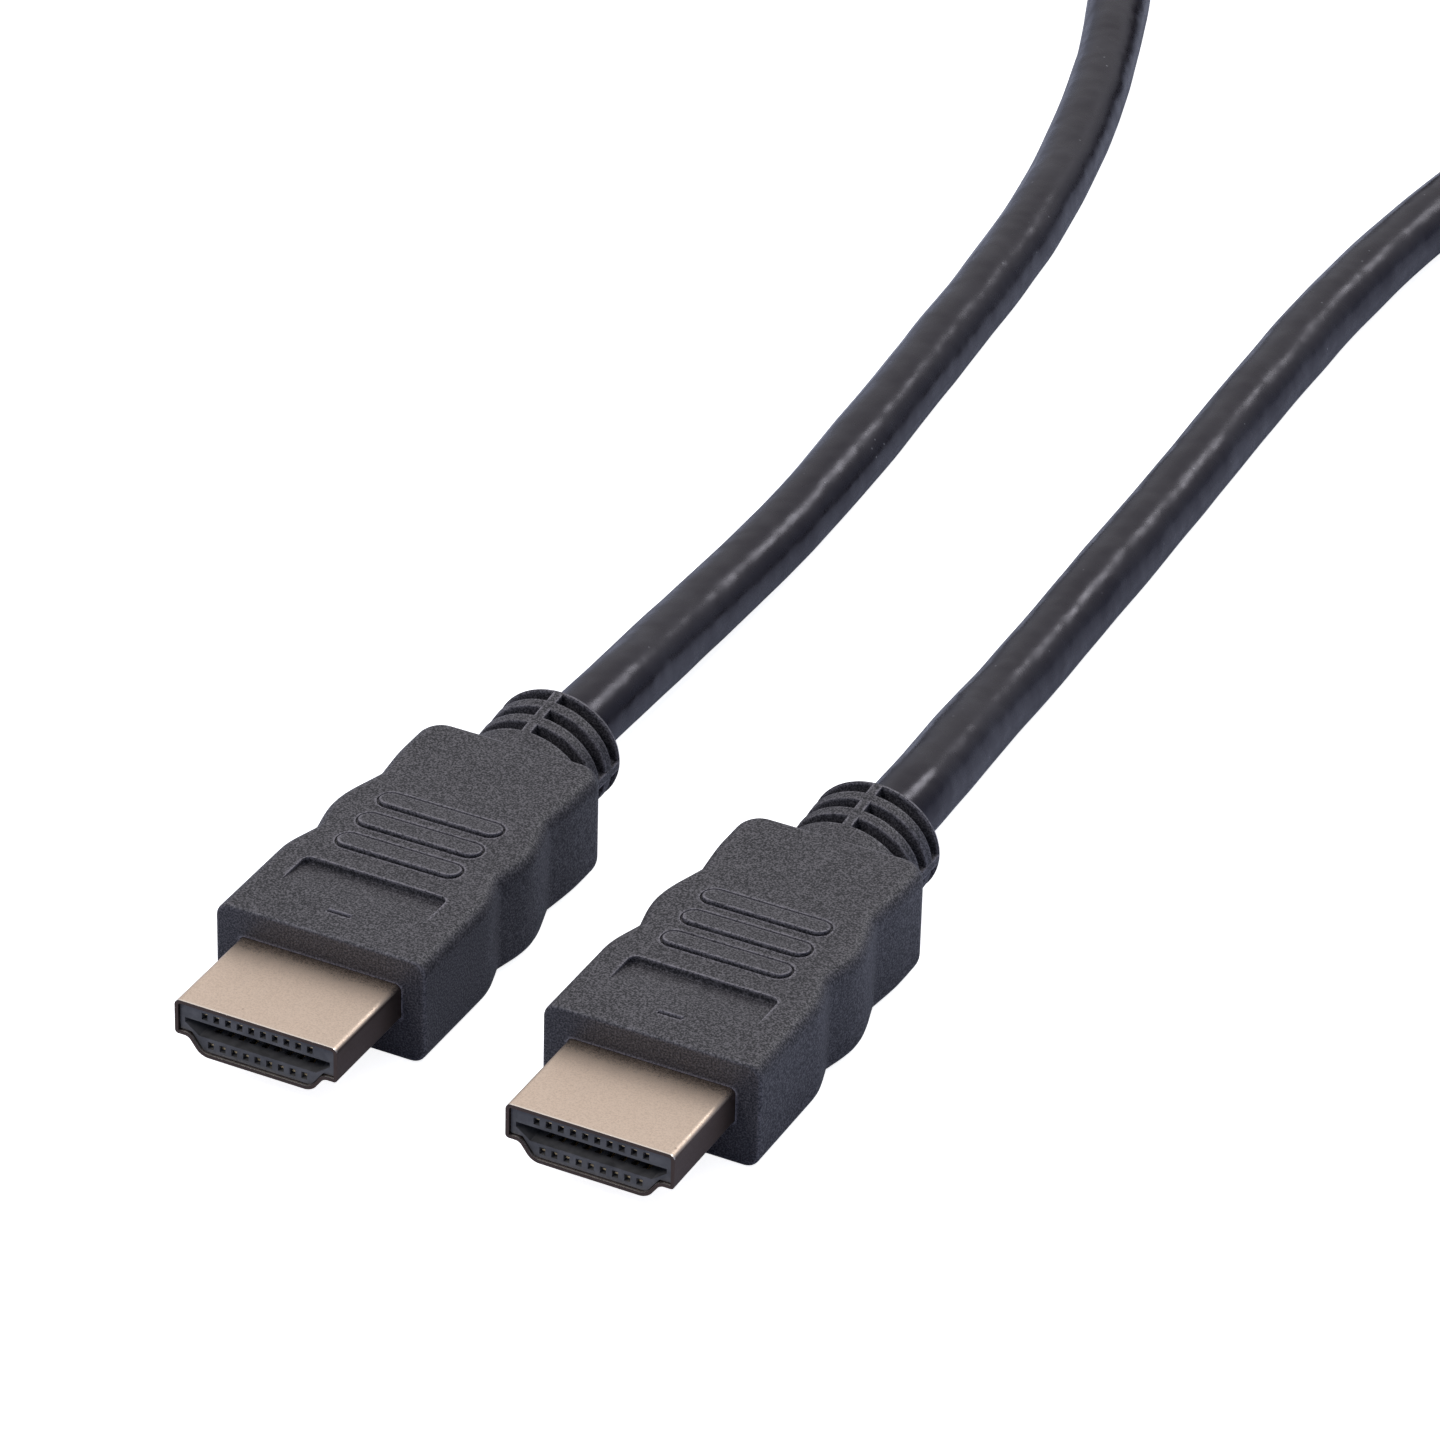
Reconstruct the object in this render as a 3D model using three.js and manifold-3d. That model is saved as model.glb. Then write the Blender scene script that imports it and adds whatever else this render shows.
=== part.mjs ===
// A digital video cable: two moulded plugs on one cable, lying side by side on a floor.
// Millimetres. X runs across the two plugs, -Y is where the noses point, +Z is up.
// The origin is on the floor, at the middle of the box around the two plugs.

import * as THREE from 'three';
import { mergeVertices } from 'three/addons/utils/BufferGeometryUtils.js';
import Module from 'manifold-3d';

const wasm = await Module();
wasm.setup();

// Driving dimensions of a plug
const plugSpacing = 28;
const shellWidth = 13.9;
const shellHeight = 4.45;
const shellWall = 0.3;
const shellReach = 9.6;
const shellSeat = 3;
const shellDrop = 0.2;
const shellTopRound = 0.5;
const shellShoulderWidth = 11.6;
const shellShoulderHeight = 1.425;
const shellFootWidth = 9.5;
const shellFootRound = 0.6;

const bodyWidth = 18.1;
const bodyHeight = 9.1;
const bodyLength = 30.6;
const bodyEdgeRound = 1.3;
const bodyTailRound = 2.3;
const bodyTailEdge = 0.5;
const gripStart = 9.2;
const grooveOneToRear = 17.3;
const grooveOneInset = 0.95;
const lobeToRear = 13.5;
const lobeInset = 0.3;
const grooveTwoToRear = 8.2;
const grooveTwoInset = 1.5;
const tailToRear = 3.6;
const tailInset = 1.1;

const panelWidth = 12.4;
const panelAt = 5;
const panelLength = 3.8;
const panelDepth = 0.5;
const panelRound = 0.7;
const ribCount = 3;
const ribAt = 11.2;
const ribPitch = 3.27;
const ribWidth = 10.6;
const ribLength = 2;
const ribHeight = 0.3;
const dashAt = 3;
const dashWidth = 2;
const dashLength = 0.6;
const dashHeight = 0.15;

const reliefLength = 7.8;
const reliefWidth = 10.9;
const reliefBaseHeight = 8.9;
const reliefEndHeight = 9.8;
const reliefSeat = 2;
const reliefEndRound = 0.4;
const slotCount = 3;
const slotAt = 2.5;
const slotPitch = 2.1;
const slotWidth = 1.05;
const slotDepth = 1.2;
const bridgeWidth = 0.8;

// Driving dimensions of the insulator and its contacts
const faceRecess = 0.25;
const slotMouthWidth = 12.4;
const slotMouthFloorWidth = 10;
const slotMouthTop = 0.66;
const slotMouthShoulder = 0.25;
const slotMouthBottom = -0.64;
const slotMouthDepth = 7;
const contactPitch = 1;
const topContactCount = 10;
const bottomContactCount = 9;
const topRowHeight = 1.22;
const bottomRowHeight = -1.24;
const channelWidth = 0.5;
const channelHeight = 0.6;
const channelDepth = 9.2;
const channelLip = 1;
const contactWidth = 0.36;
const contactThickness = 0.16;
const contactTip = 0.3;
const contactBend = 2.9;
const contactBendDrop = 0.62;
const contactSpring = 5.6;
const contactLength = 8.8;

// Driving dimensions of the cable, its coil and the tie
const cableDiameter = 5.9;
const cableSides = 10;
const cableStep = 13;
const socketDepth = 1.2;
const coilCenterX = -10;
const coilCenterY = 236.5;
const coilMiddleDiameter = 60;
const coilTurnsInLayer = 2.75;
const coilLayers = 2;
const tieWidth = 9;
const tieThickness = 0.9;
const tieCornerRound = 1.2;
const tiedTurns = 3;

// Clearances: between pieces that sit in each other, and between faces that meet
const fitGap = 0.05;
const meetGap = 0.3;

// What follows from them
const cableRadius = cableDiameter / 2;
const plugLength = shellReach + bodyLength + reliefLength;
const noseY = -plugLength / 2;
const bodyFrontY = noseY + shellReach;
const bodyRearY = bodyFrontY + bodyLength;
const reliefEndY = bodyRearY + reliefLength;
const bodyAxisZ = bodyHeight / 2;
const reliefEndAxisZ = bodyAxisZ + (reliefEndHeight - reliefBaseHeight) / 2;
const shellAxisZ = bodyAxisZ - shellDrop;
const grooveOneAt = bodyLength - grooveOneToRear;
const lobeAt = bodyLength - lobeToRear;
const grooveTwoAt = bodyLength - grooveTwoToRear;
const tailAt = bodyLength - tailToRear;
const coilSpread = cableDiameter * coilTurnsInLayer;
const coilOuterTurn = (coilMiddleDiameter + coilSpread) / 2;
const coilInnerTurn = (coilMiddleDiameter - coilSpread) / 2;
const coilHeight = cableDiameter * coilLayers;

// Visible stretches of cable, from the plug to the coil, as they lie on the floor
const routeA = [
  [-14, reliefEndY - socketDepth + meetGap, 5],
  [-14, 29.55, 4.9],
  [-14.2, 35.55, 4.45],
  [-14.6, 42.55, 3.75],
  [-14.85, 50.55, 3.2],
  [-14.9, 60.55, 2.97],
  [-15.1, 70.55, 2.97],
  [-15.75, 81.55, 2.97],
  [-16.6, 92.55, 2.97],
  [-17.6, 103.55, 2.97],
  [-18.6, 114.55, 2.97],
  [-20.2, 127.55, 2.97],
  [-22.7, 140.55, 2.97],
  [-26.3, 154.55, 2.97],
  [-31.2, 169.55, 2.97],
  [-37, 184.55, 2.97],
  [-42.5, 198.55, 2.97],
  [-45.8, 210.05, 2.97],
];
const routeB = [
  [14, reliefEndY - socketDepth + meetGap, 5],
  [14, 29.55, 4.9],
  [13.6, 35.55, 4.45],
  [13, 42.55, 3.75],
  [12.6, 50.55, 3.2],
  [12.2, 60.55, 2.97],
  [11.9, 70.55, 2.97],
  [11.55, 81.55, 2.97],
  [11.15, 92.55, 2.97],
  [10.7, 103.55, 2.97],
  [10.35, 114.55, 2.97],
  [10.3, 127.55, 2.97],
  [10.9, 140.55, 2.97],
  [12.5, 154.55, 2.97],
  [15.3, 169.55, 2.97],
  [19, 184.55, 3.4],
  [22.8, 198.55, 4.9],
  [25.7, 210.05, 6.6],
];

// Finishes
const mouldedBlack = new THREE.MeshStandardMaterial({
  color: '#2c2b2e',
  roughness: 0.62,
  metalness: 0,
});
const nickelPlate = new THREE.MeshStandardMaterial({
  color: '#c4ae96',
  roughness: 0.35,
  metalness: 1,
});
const insulatorBlack = new THREE.MeshStandardMaterial({
  color: '#2e2e32',
  roughness: 0.5,
  metalness: 0,
});
const goldPlate = new THREE.MeshStandardMaterial({
  color: '#caa765',
  roughness: 0.3,
  metalness: 1,
});
const jacketBlack = new THREE.MeshStandardMaterial({
  color: '#1d1d20',
  roughness: 0.4,
  metalness: 0,
});
const tieBlack = new THREE.MeshStandardMaterial({
  color: '#18181a',
  roughness: 0.9,
  metalness: 0,
});

// Solids from geometries and back
function toSolid(geometry) {
  geometry.deleteAttribute('normal');
  geometry.deleteAttribute('uv');
  const merged = mergeVertices(geometry, 1e-5);
  return new wasm.Manifold(
    new wasm.Mesh({
      numProp: 3,
      vertProperties: new Float32Array(merged.attributes.position.array),
      triVerts: new Uint32Array(merged.index.array),
    }),
  );
}

function toGeometry(solid) {
  const mesh = solid.getMesh();
  const geometry = new THREE.BufferGeometry();
  geometry.setAttribute('position', new THREE.BufferAttribute(mesh.vertProperties, 3));
  geometry.setIndex(new THREE.BufferAttribute(mesh.triVerts, 1));
  geometry.computeVertexNormals();
  return geometry;
}

function boxSolid(low, high) {
  const size = high.map((value, axis) => value - low[axis]);
  const box = new THREE.BoxGeometry(...size);
  box.translate(...low.map((value, axis) => value + size[axis] / 2));
  return toSolid(box);
}

// An outline in X and Z, run along Y
function alongY(shape, yFrom, yTo, curveSegments = 3) {
  const depth = yTo - yFrom;
  const geometry = new THREE.ExtrudeGeometry(shape, { depth, bevelEnabled: false, curveSegments });
  geometry.rotateX(Math.PI / 2);
  geometry.translate(0, yTo, 0);
  return geometry;
}

// An outline in X and Y, run along Z
function alongZ(shape, zFrom, zTo, curveSegments = 4) {
  const depth = zTo - zFrom;
  const geometry = new THREE.ExtrudeGeometry(shape, { depth, bevelEnabled: false, curveSegments });
  geometry.translate(0, 0, zFrom);
  return geometry;
}

// An outline in Y and Z, run along X, centred on x
function alongX(shape, x, width) {
  const geometry = new THREE.ExtrudeGeometry(shape, { depth: width, bevelEnabled: false });
  const yAxis = new THREE.Vector3(0, 1, 0);
  const zAxis = new THREE.Vector3(0, 0, 1);
  const xAxis = new THREE.Vector3(1, 0, 0);
  geometry.applyMatrix4(new THREE.Matrix4().makeBasis(yAxis, zAxis, xAxis));
  geometry.translate(x - width / 2, 0, 0);
  return geometry;
}

function polygon(points) {
  return new THREE.Shape(points.map(([a, b]) => new THREE.Vector2(a, b)));
}

// A closed outline whose corners are rounded, each by its own radius
function roundedOutline(corners) {
  const shape = new THREE.Shape();
  corners.forEach(([x, y, radius], index) => {
    const here = new THREE.Vector2(x, y);
    const before = new THREE.Vector2(...corners.at(index - 1).slice(0, 2));
    const after = new THREE.Vector2(...corners[(index + 1) % corners.length].slice(0, 2));
    const towardsBefore = before.sub(here).normalize();
    const towardsAfter = after.sub(here).normalize();
    const halfAngle = Math.acos(towardsBefore.dot(towardsAfter)) / 2;
    const cut = radius / Math.tan(halfAngle);
    const from = here.clone().addScaledVector(towardsBefore, cut);
    const to = here.clone().addScaledVector(towardsAfter, cut);
    if (index === 0) {
      shape.moveTo(from.x, from.y);
    } else {
      shape.lineTo(from.x, from.y);
    }
    shape.quadraticCurveTo(here.x, here.y, to.x, to.y);
  });
  shape.closePath();
  return shape;
}

// The corners of an outline drawn anticlockwise, moved inwards by a distance
function insetCorners(corners, distance) {
  const lines = corners.map(([x, y], index) => {
    const [nextX, nextY] = corners[(index + 1) % corners.length];
    const length = Math.hypot(nextX - x, nextY - y);
    const inward = [-(nextY - y) / length, (nextX - x) / length];
    return { inward, offset: inward[0] * x + inward[1] * y + distance };
  });
  return corners.map(([, , radius], index) => {
    const a = lines.at(index - 1);
    const b = lines[index];
    const turn = a.inward[0] * b.inward[1] - a.inward[1] * b.inward[0];
    const x = (a.offset * b.inward[1] - b.offset * a.inward[1]) / turn;
    const y = (b.offset * a.inward[0] - a.offset * b.inward[0]) / turn;
    return [x, y, Math.max(radius - distance, radius / 3)];
  });
}

// The connector's outline, seen from its nose: straight sides, a shoulder and a narrow foot
function shellCorners() {
  const side = shellWidth / 2;
  const shoulder = shellShoulderWidth / 2;
  const foot = shellFootWidth / 2;
  const top = shellAxisZ + shellHeight / 2;
  const bottom = shellAxisZ - shellHeight / 2;
  const step = bottom + shellShoulderHeight;
  return [
    [side, top, shellTopRound],
    [-side, top, shellTopRound],
    [-side, step, shellFootRound / 2],
    [-shoulder, step, shellFootRound / 2],
    [-foot, bottom, shellFootRound],
    [foot, bottom, shellFootRound],
    [shoulder, step, shellFootRound / 2],
    [side, step, shellFootRound / 2],
  ];
}

// A side of the body: full width in front, then a groove, a lobe, a groove and the tail
function sideInset(distance) {
  const stations = [
    [gripStart, 0],
    [grooveOneAt, grooveOneInset],
    [lobeAt, lobeInset],
    [grooveTwoAt, grooveTwoInset],
    [tailAt, tailInset],
  ];
  if (distance <= gripStart) {
    return 0;
  }
  if (distance >= tailAt) {
    return tailInset;
  }
  const index = stations.findIndex(([at]) => at > distance) - 1;
  const [fromAt, fromInset] = stations[index];
  const [toAt, toInset] = stations[index + 1];
  const share = (distance - fromAt) / (toAt - fromAt);
  const outward = toInset < fromInset;
  const crease = outward ? Math.sin((share * Math.PI) / 2) : 1 - Math.cos((share * Math.PI) / 2);
  const wave = (1 - Math.cos(share * Math.PI)) / 2;
  return fromInset + (toInset - fromInset) * (crease + wave) / 2;
}

function bodyPlan() {
  const stepCount = 24;
  const front = bodyFrontY - bodyEdgeRound * 2;
  const rear = bodyRearY + bodyEdgeRound - bodyTailEdge;
  const tailHalf = bodyWidth / 2 - tailInset;
  const wavy = Array.from({ length: stepCount + 1 }, (_, step) => {
    const distance = gripStart + ((tailAt - gripStart) * step) / stepCount;
    return [bodyWidth / 2 - sideInset(distance), bodyFrontY + distance];
  });
  const corner = bodyTailRound + bodyEdgeRound - bodyTailEdge;
  const shape = new THREE.Shape();
  shape.moveTo(-bodyWidth / 2, front);
  shape.lineTo(bodyWidth / 2, front);
  wavy.forEach(([x, y]) => shape.lineTo(x, y));
  shape.lineTo(tailHalf, rear - corner);
  shape.quadraticCurveTo(tailHalf, rear, tailHalf - corner, rear);
  shape.lineTo(corner - tailHalf, rear);
  shape.quadraticCurveTo(-tailHalf, rear, -tailHalf, rear - corner);
  wavy.reverse().forEach(([x, y]) => shape.lineTo(-x, y));
  shape.closePath();
  return shape;
}

function bodySolid() {
  const geometry = new THREE.ExtrudeGeometry(bodyPlan(), {
    depth: bodyHeight - bodyEdgeRound * 2,
    bevelThickness: bodyEdgeRound,
    bevelSize: bodyEdgeRound,
    bevelOffset: -bodyEdgeRound,
    bevelSegments: 3,
    curveSegments: 5,
  });
  geometry.translate(0, 0, bodyEdgeRound);
  const ends = boxSolid([-bodyWidth, bodyFrontY, -1], [bodyWidth, bodyRearY, bodyHeight + 1]);
  return toSolid(geometry).intersect(ends);
}

// A block whose top slopes from one height at its front to another at its rear
function rampSolid(width, front, length, frontZ, rearZ, bottomZ) {
  const profile = polygon([
    [front, bottomZ],
    [front + length, bottomZ],
    [front + length, rearZ],
    [front, frontZ],
  ]);
  return toSolid(alongX(profile, 0, width));
}

// The shallow sloping panel in the body's top
function panelSolid() {
  const half = panelWidth / 2;
  const front = bodyFrontY + panelAt;
  const rear = front + panelLength;
  const plan = roundedOutline([
    [-half, front, panelRound / 4],
    [half, front, panelRound / 4],
    [half, rear, panelRound],
    [-half, rear, panelRound],
  ]);
  const above = bodyHeight + 1;
  const outline = toSolid(alongZ(plan, bodyHeight - panelDepth * 2, above));
  const floorOfPanel = rampSolid(
    bodyWidth,
    front,
    panelLength,
    bodyHeight,
    bodyHeight - panelDepth,
    bodyHeight - panelDepth * 3,
  );
  return outline.subtract(floorOfPanel);
}

// A finger rib: a rounded bar, steep in front, that fades into the top
function ribSolid(index) {
  const half = ribWidth / 2;
  const front = bodyFrontY + ribAt + ribPitch * index;
  const rear = front + ribLength;
  const round = ribLength * 0.45;
  const plan = roundedOutline([
    [-half, front, round],
    [half, front, round],
    [half, rear, round],
    [-half, rear, round],
  ]);
  const base = bodyHeight - ribHeight * 2;
  const bar = toSolid(alongZ(plan, base, bodyHeight + ribHeight * 2));
  return bar.intersect(
    rampSolid(bodyWidth, front, ribLength, bodyHeight + ribHeight, bodyHeight, base - 1),
  );
}

function dashSolid() {
  const front = bodyFrontY + dashAt;
  const top = bodyHeight + dashHeight;
  return rampSolid(dashWidth, front, dashLength, top, bodyHeight, bodyHeight - dashHeight * 2);
}

// Strain relief: an oval stub with a level underside that grows higher towards its end,
// with cross slots and four bridges
function reliefRadius(distance) {
  const share = distance / reliefLength;
  return (reliefBaseHeight + (reliefEndHeight - reliefBaseHeight) * share) / 2;
}

function reliefRise(distance) {
  return reliefRadius(distance) - reliefRadius(0);
}

function turnedRelief(withSlots) {
  const outline = [[0, -reliefSeat], [reliefRadius(-reliefSeat) - 1, -reliefSeat]];
  outline.push([reliefRadius(0), 0]);
  for (let slot = 0; withSlots && slot < slotCount; slot += 1) {
    const from = slotAt + slotPitch * slot - slotWidth / 2;
    const to = from + slotWidth;
    outline.push([reliefRadius(from), from]);
    outline.push([reliefRadius(from) - slotDepth, from]);
    outline.push([reliefRadius(to) - slotDepth, to]);
    outline.push([reliefRadius(to), to]);
  }
  outline.push([reliefRadius(reliefLength), reliefLength - reliefEndRound]);
  outline.push([reliefRadius(reliefLength) - reliefEndRound, reliefLength]);
  outline.push([0, reliefLength]);
  const profile = outline.map(([radius, distance]) => new THREE.Vector2(radius, distance));
  const stub = toSolid(new THREE.LatheGeometry(profile, 28)).warp((point) => {
    point[0] *= reliefWidth / 2 / reliefRadius(point[1]);
    point[2] += reliefRise(point[1]);
  });
  return stub.translate([0, bodyRearY, bodyAxisZ]);
}

function reliefSolid() {
  const reach = reliefBaseHeight;
  const half = bridgeWidth / 2;
  const middleZ = bodyAxisZ + reliefRise(reliefLength / 2);
  const upright = boxSolid([-half, bodyRearY, middleZ - reach], [half, reliefEndY, middleZ + reach]);
  const level = boxSolid([-reach, bodyRearY, middleZ - half], [reach, reliefEndY, middleZ + half]);
  const bridges = turnedRelief(false).intersect(upright.add(level));
  return turnedRelief(true).add(bridges);
}

// The hole in the strain relief's end that takes the cable
function socketSolid() {
  const length = socketDepth * 2;
  const geometry = new THREE.CylinderGeometry(
    cableRadius + fitGap * 2,
    cableRadius + fitGap * 2,
    length,
    24,
  );
  geometry.translate(0, reliefEndY - socketDepth + length / 2, reliefEndAxisZ);
  return toSolid(geometry);
}

function overmouldGeometry() {
  const pocket = roundedOutline(insetCorners(shellCorners(), -fitGap));
  let solid = bodySolid().subtract(panelSolid());
  for (let rib = 0; rib < ribCount; rib += 1) {
    solid = solid.add(ribSolid(rib));
  }
  solid = solid.add(dashSolid()).add(reliefSolid());
  solid = solid.subtract(toSolid(alongY(pocket, bodyFrontY - 1, bodyFrontY + shellSeat + fitGap)));
  return toGeometry(solid.subtract(socketSolid()));
}

// The folded sheet metal shell around the contacts
function shellGeometry() {
  const outline = roundedOutline(shellCorners());
  const inner = roundedOutline(insetCorners(shellCorners(), shellWall));
  outline.holes.push(new THREE.Path(inner.getPoints(3)));
  return alongY(outline, noseY, bodyFrontY + shellSeat);
}

// Where the contacts lie: the upper row faces down into the slot and the lower row faces up
function contactPlaces() {
  const rows = [
    { count: topContactCount, height: topRowHeight, towardsSlot: -1 },
    { count: bottomContactCount, height: bottomRowHeight, towardsSlot: 1 },
  ];
  return rows.flatMap(({ count, height, towardsSlot }) =>
    Array.from({ length: count }, (_, index) => ({
      x: (index - (count - 1) / 2) * contactPitch,
      z: shellAxisZ + height,
      towardsSlot,
    })),
  );
}

function channelSolid({ x, z, towardsSlot }) {
  const face = noseY + faceRecess;
  const half = channelWidth / 2;
  const low = z - channelHeight / 2;
  const high = z + channelHeight / 2;
  const hole = boxSolid([x - half, face - 1, low], [x + half, face + channelDepth, high]);
  const slotSide = z + towardsSlot * channelHeight * 1.2;
  const open = boxSolid(
    [x - half, face + channelLip, Math.min(z, slotSide)],
    [x + half, face + slotMouthDepth, Math.max(z, slotSide)],
  );
  return hole.add(open);
}

// The plastic block in the shell, with the slot for the socket's tongue
function insulatorGeometry() {
  const face = noseY + faceRecess;
  const rear = bodyFrontY + shellSeat;
  const outline = roundedOutline(insetCorners(shellCorners(), shellWall + fitGap));
  const mouth = polygon([
    [slotMouthWidth / 2, shellAxisZ + slotMouthTop],
    [-slotMouthWidth / 2, shellAxisZ + slotMouthTop],
    [-slotMouthWidth / 2, shellAxisZ + slotMouthShoulder],
    [-slotMouthFloorWidth / 2, shellAxisZ + slotMouthBottom],
    [slotMouthFloorWidth / 2, shellAxisZ + slotMouthBottom],
    [slotMouthWidth / 2, shellAxisZ + slotMouthShoulder],
  ]);
  let solid = toSolid(alongY(outline, face, rear));
  solid = solid.subtract(toSolid(alongY(mouth, face - 1, face + slotMouthDepth)));
  contactPlaces().forEach((place) => {
    solid = solid.subtract(channelSolid(place));
  });
  return toGeometry(solid);
}

// A spring contact: a strip with a bend that reaches into the slot
function contactGeometry({ x, z, towardsSlot }) {
  const face = noseY + faceRecess;
  const back = z - towardsSlot * contactThickness;
  const line = [
    [contactTip, 0],
    [channelLip, 0],
    [contactBend, contactBendDrop],
    [contactBend + contactTip, contactBendDrop],
    [contactSpring, 0],
    [contactLength, 0],
  ];
  const near = line.map(([distance, drop]) => [face + distance, back + towardsSlot * drop]);
  const far = near.map(([y, height]) => [y, height + towardsSlot * contactThickness]).reverse();
  return alongX(polygon([...near, ...far]), x, contactWidth);
}

// A stretch of cable along its points
function stretchGeometry(points) {
  const curve = new THREE.CatmullRomCurve3(points.map((point) => new THREE.Vector3(...point)));
  const section = new THREE.Shape();
  section.absarc(0, 0, cableRadius, 0, Math.PI * 2, false);
  const steps = Math.round(curve.getLength() / cableStep);
  return new THREE.ExtrudeGeometry(section, {
    steps,
    extrudePath: curve,
    curveSegments: cableSides,
    bevelEnabled: false,
  });
}

// The tied part of the coil: how far its turns reach from the middle, on the far side
function tiedReach() {
  const middle = coilMiddleDiameter / 2;
  return [middle - (tiedTurns * cableDiameter) / 2, middle + (tiedTurns * cableDiameter) / 2];
}

// The coil's outer shape: one turned ring, narrowed where the tie goes round it
function coilGeometry() {
  const inner = coilInnerTurn - cableRadius;
  const outer = coilOuterTurn + cableRadius;
  const round = cableRadius * 0.6;
  const section = roundedOutline([
    [inner, 0, round],
    [outer, 0, round],
    [outer, coilHeight, round],
    [inner, coilHeight, round],
  ]).getPoints(2);
  section.push(section[0].clone());
  const ring = new THREE.LatheGeometry(section, 48);
  ring.rotateX(Math.PI / 2);
  ring.translate(coilCenterX, coilCenterY, 0);
  const [near, far] = tiedReach();
  const half = tieWidth / 2 + meetGap;
  const gap = tieThickness + meetGap;
  const space = boxSolid(
    [coilCenterX - half, coilCenterY + inner - 1, -1],
    [coilCenterX + half, coilCenterY + outer + 1, coilHeight + 1],
  );
  const neck = boxSolid(
    [coilCenterX - half - 1, coilCenterY + near + meetGap, gap],
    [coilCenterX + half + 1, coilCenterY + far - meetGap, coilHeight],
  );
  return toGeometry(toSolid(ring).subtract(space).add(neck));
}

// The tie: a band wound once round the turns
function tieGeometry() {
  const [near, far] = tiedReach();
  const low = 0;
  const high = coilHeight + tieThickness * 2;
  const corners = [
    [coilCenterY + near - tieThickness, low, tieCornerRound],
    [coilCenterY + far + tieThickness, low, tieCornerRound],
    [coilCenterY + far + tieThickness, high, tieCornerRound],
    [coilCenterY + near - tieThickness, high, tieCornerRound],
  ];
  const band = roundedOutline(corners);
  const inside = roundedOutline(insetCorners(corners, tieThickness));
  band.holes.push(new THREE.Path(inside.getPoints(3)));
  return alongX(band, coilCenterX, tieWidth);
}

// The whole: two plugs, each with its own pieces, and the cable between them
function plugGroup(letter, x) {
  const plug = new THREE.Group();
  const pieces = [
    ['overmould', overmouldGeometry(), mouldedBlack],
    ['shell', shellGeometry(), nickelPlate],
    ['insulator', insulatorGeometry(), insulatorBlack],
  ];
  contactPlaces().forEach((place, index) => {
    const number = String(index + 1).padStart(2, '0');
    pieces.push([`contact_${number}`, contactGeometry(place), goldPlate]);
  });
  pieces.forEach(([name, geometry, material]) => {
    const mesh = new THREE.Mesh(geometry, material);
    mesh.name = `plug_${letter}_${name}`;
    plug.add(mesh);
  });
  plug.position.x = x;
  return plug;
}

const cable = new THREE.Group();
cable.add(plugGroup('a', -plugSpacing / 2));
cable.add(plugGroup('b', plugSpacing / 2));

const lying = [
  ['cable_stretch_a', stretchGeometry(routeA), jacketBlack],
  ['cable_stretch_b', stretchGeometry(routeB), jacketBlack],
  ['cable_coil', coilGeometry(), jacketBlack],
  ['coil_tie', tieGeometry(), tieBlack],
];
lying.forEach(([name, geometry, material]) => {
  const mesh = new THREE.Mesh(geometry, material);
  mesh.name = name;
  cable.add(mesh);
});

export default cable;
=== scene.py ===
import math

import bmesh
import bpy
from bpy.props import FloatProperty, FloatVectorProperty, IntProperty, PointerProperty
from mathutils import Matrix, Quaternion, Vector


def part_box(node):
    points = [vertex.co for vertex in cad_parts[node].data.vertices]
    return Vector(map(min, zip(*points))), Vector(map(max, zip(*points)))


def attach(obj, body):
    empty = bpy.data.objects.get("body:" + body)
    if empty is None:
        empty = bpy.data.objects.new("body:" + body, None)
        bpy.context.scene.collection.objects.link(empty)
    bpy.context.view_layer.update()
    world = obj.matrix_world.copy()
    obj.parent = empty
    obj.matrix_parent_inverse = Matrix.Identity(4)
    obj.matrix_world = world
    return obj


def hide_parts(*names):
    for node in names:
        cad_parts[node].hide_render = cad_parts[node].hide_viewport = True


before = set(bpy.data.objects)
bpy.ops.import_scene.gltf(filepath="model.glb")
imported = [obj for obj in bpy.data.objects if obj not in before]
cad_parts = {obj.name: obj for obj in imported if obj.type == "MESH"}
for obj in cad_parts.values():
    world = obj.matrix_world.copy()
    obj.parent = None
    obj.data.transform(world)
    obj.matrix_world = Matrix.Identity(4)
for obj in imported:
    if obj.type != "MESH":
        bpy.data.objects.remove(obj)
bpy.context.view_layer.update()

bl_info = {
    "name": "Video cable with two plugs",
    "version": (1, 0, 0),
    "blender": (4, 5, 0),
    "location": "3D View > Sidebar > Video cable",
    "description": "Dresses a packed digital video cable: moulded plugs, metal noses, jacket, coil and tie",
    "category": "Object",
}

MM = 0.001
PLUGS = ("a", "b")
BODY = "root"

# The softboxes, in metres, and the direction of the room's bright side

KEY_PLACE = (0.237, 0.763, 0.601)
KEY_SIZE = 0.22
EDGE_PLACE = (-0.37, -0.53, 0.76)
EDGE_SIZE = 0.3
BRIGHT_SIDE = (-0.2, 0.45, 0.87)

# Sizes read from the frame, in millimetres


def frame_box(node):
    low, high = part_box(node)
    return low / MM, high / MM


MOULD_LOW, MOULD_HIGH = frame_box("plug_a_overmould")
SHELL_LOW, SHELL_HIGH = frame_box("plug_a_shell")
TIE_LOW, TIE_HIGH = frame_box("coil_tie")
PLUG_X = -(MOULD_LOW.x + MOULD_HIGH.x) / 2
BODY_WIDTH = MOULD_HIGH.x - MOULD_LOW.x
BODY_FRONT = MOULD_LOW.y
RELIEF_END = MOULD_HIGH.y
NOSE = SHELL_LOW.y
SHELL_WIDTH = SHELL_HIGH.x - SHELL_LOW.x
SHELL_AXIS = (SHELL_LOW.z + SHELL_HIGH.z) / 2

# The cable's route on the floor, in metres: the same points as the part's source

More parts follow.
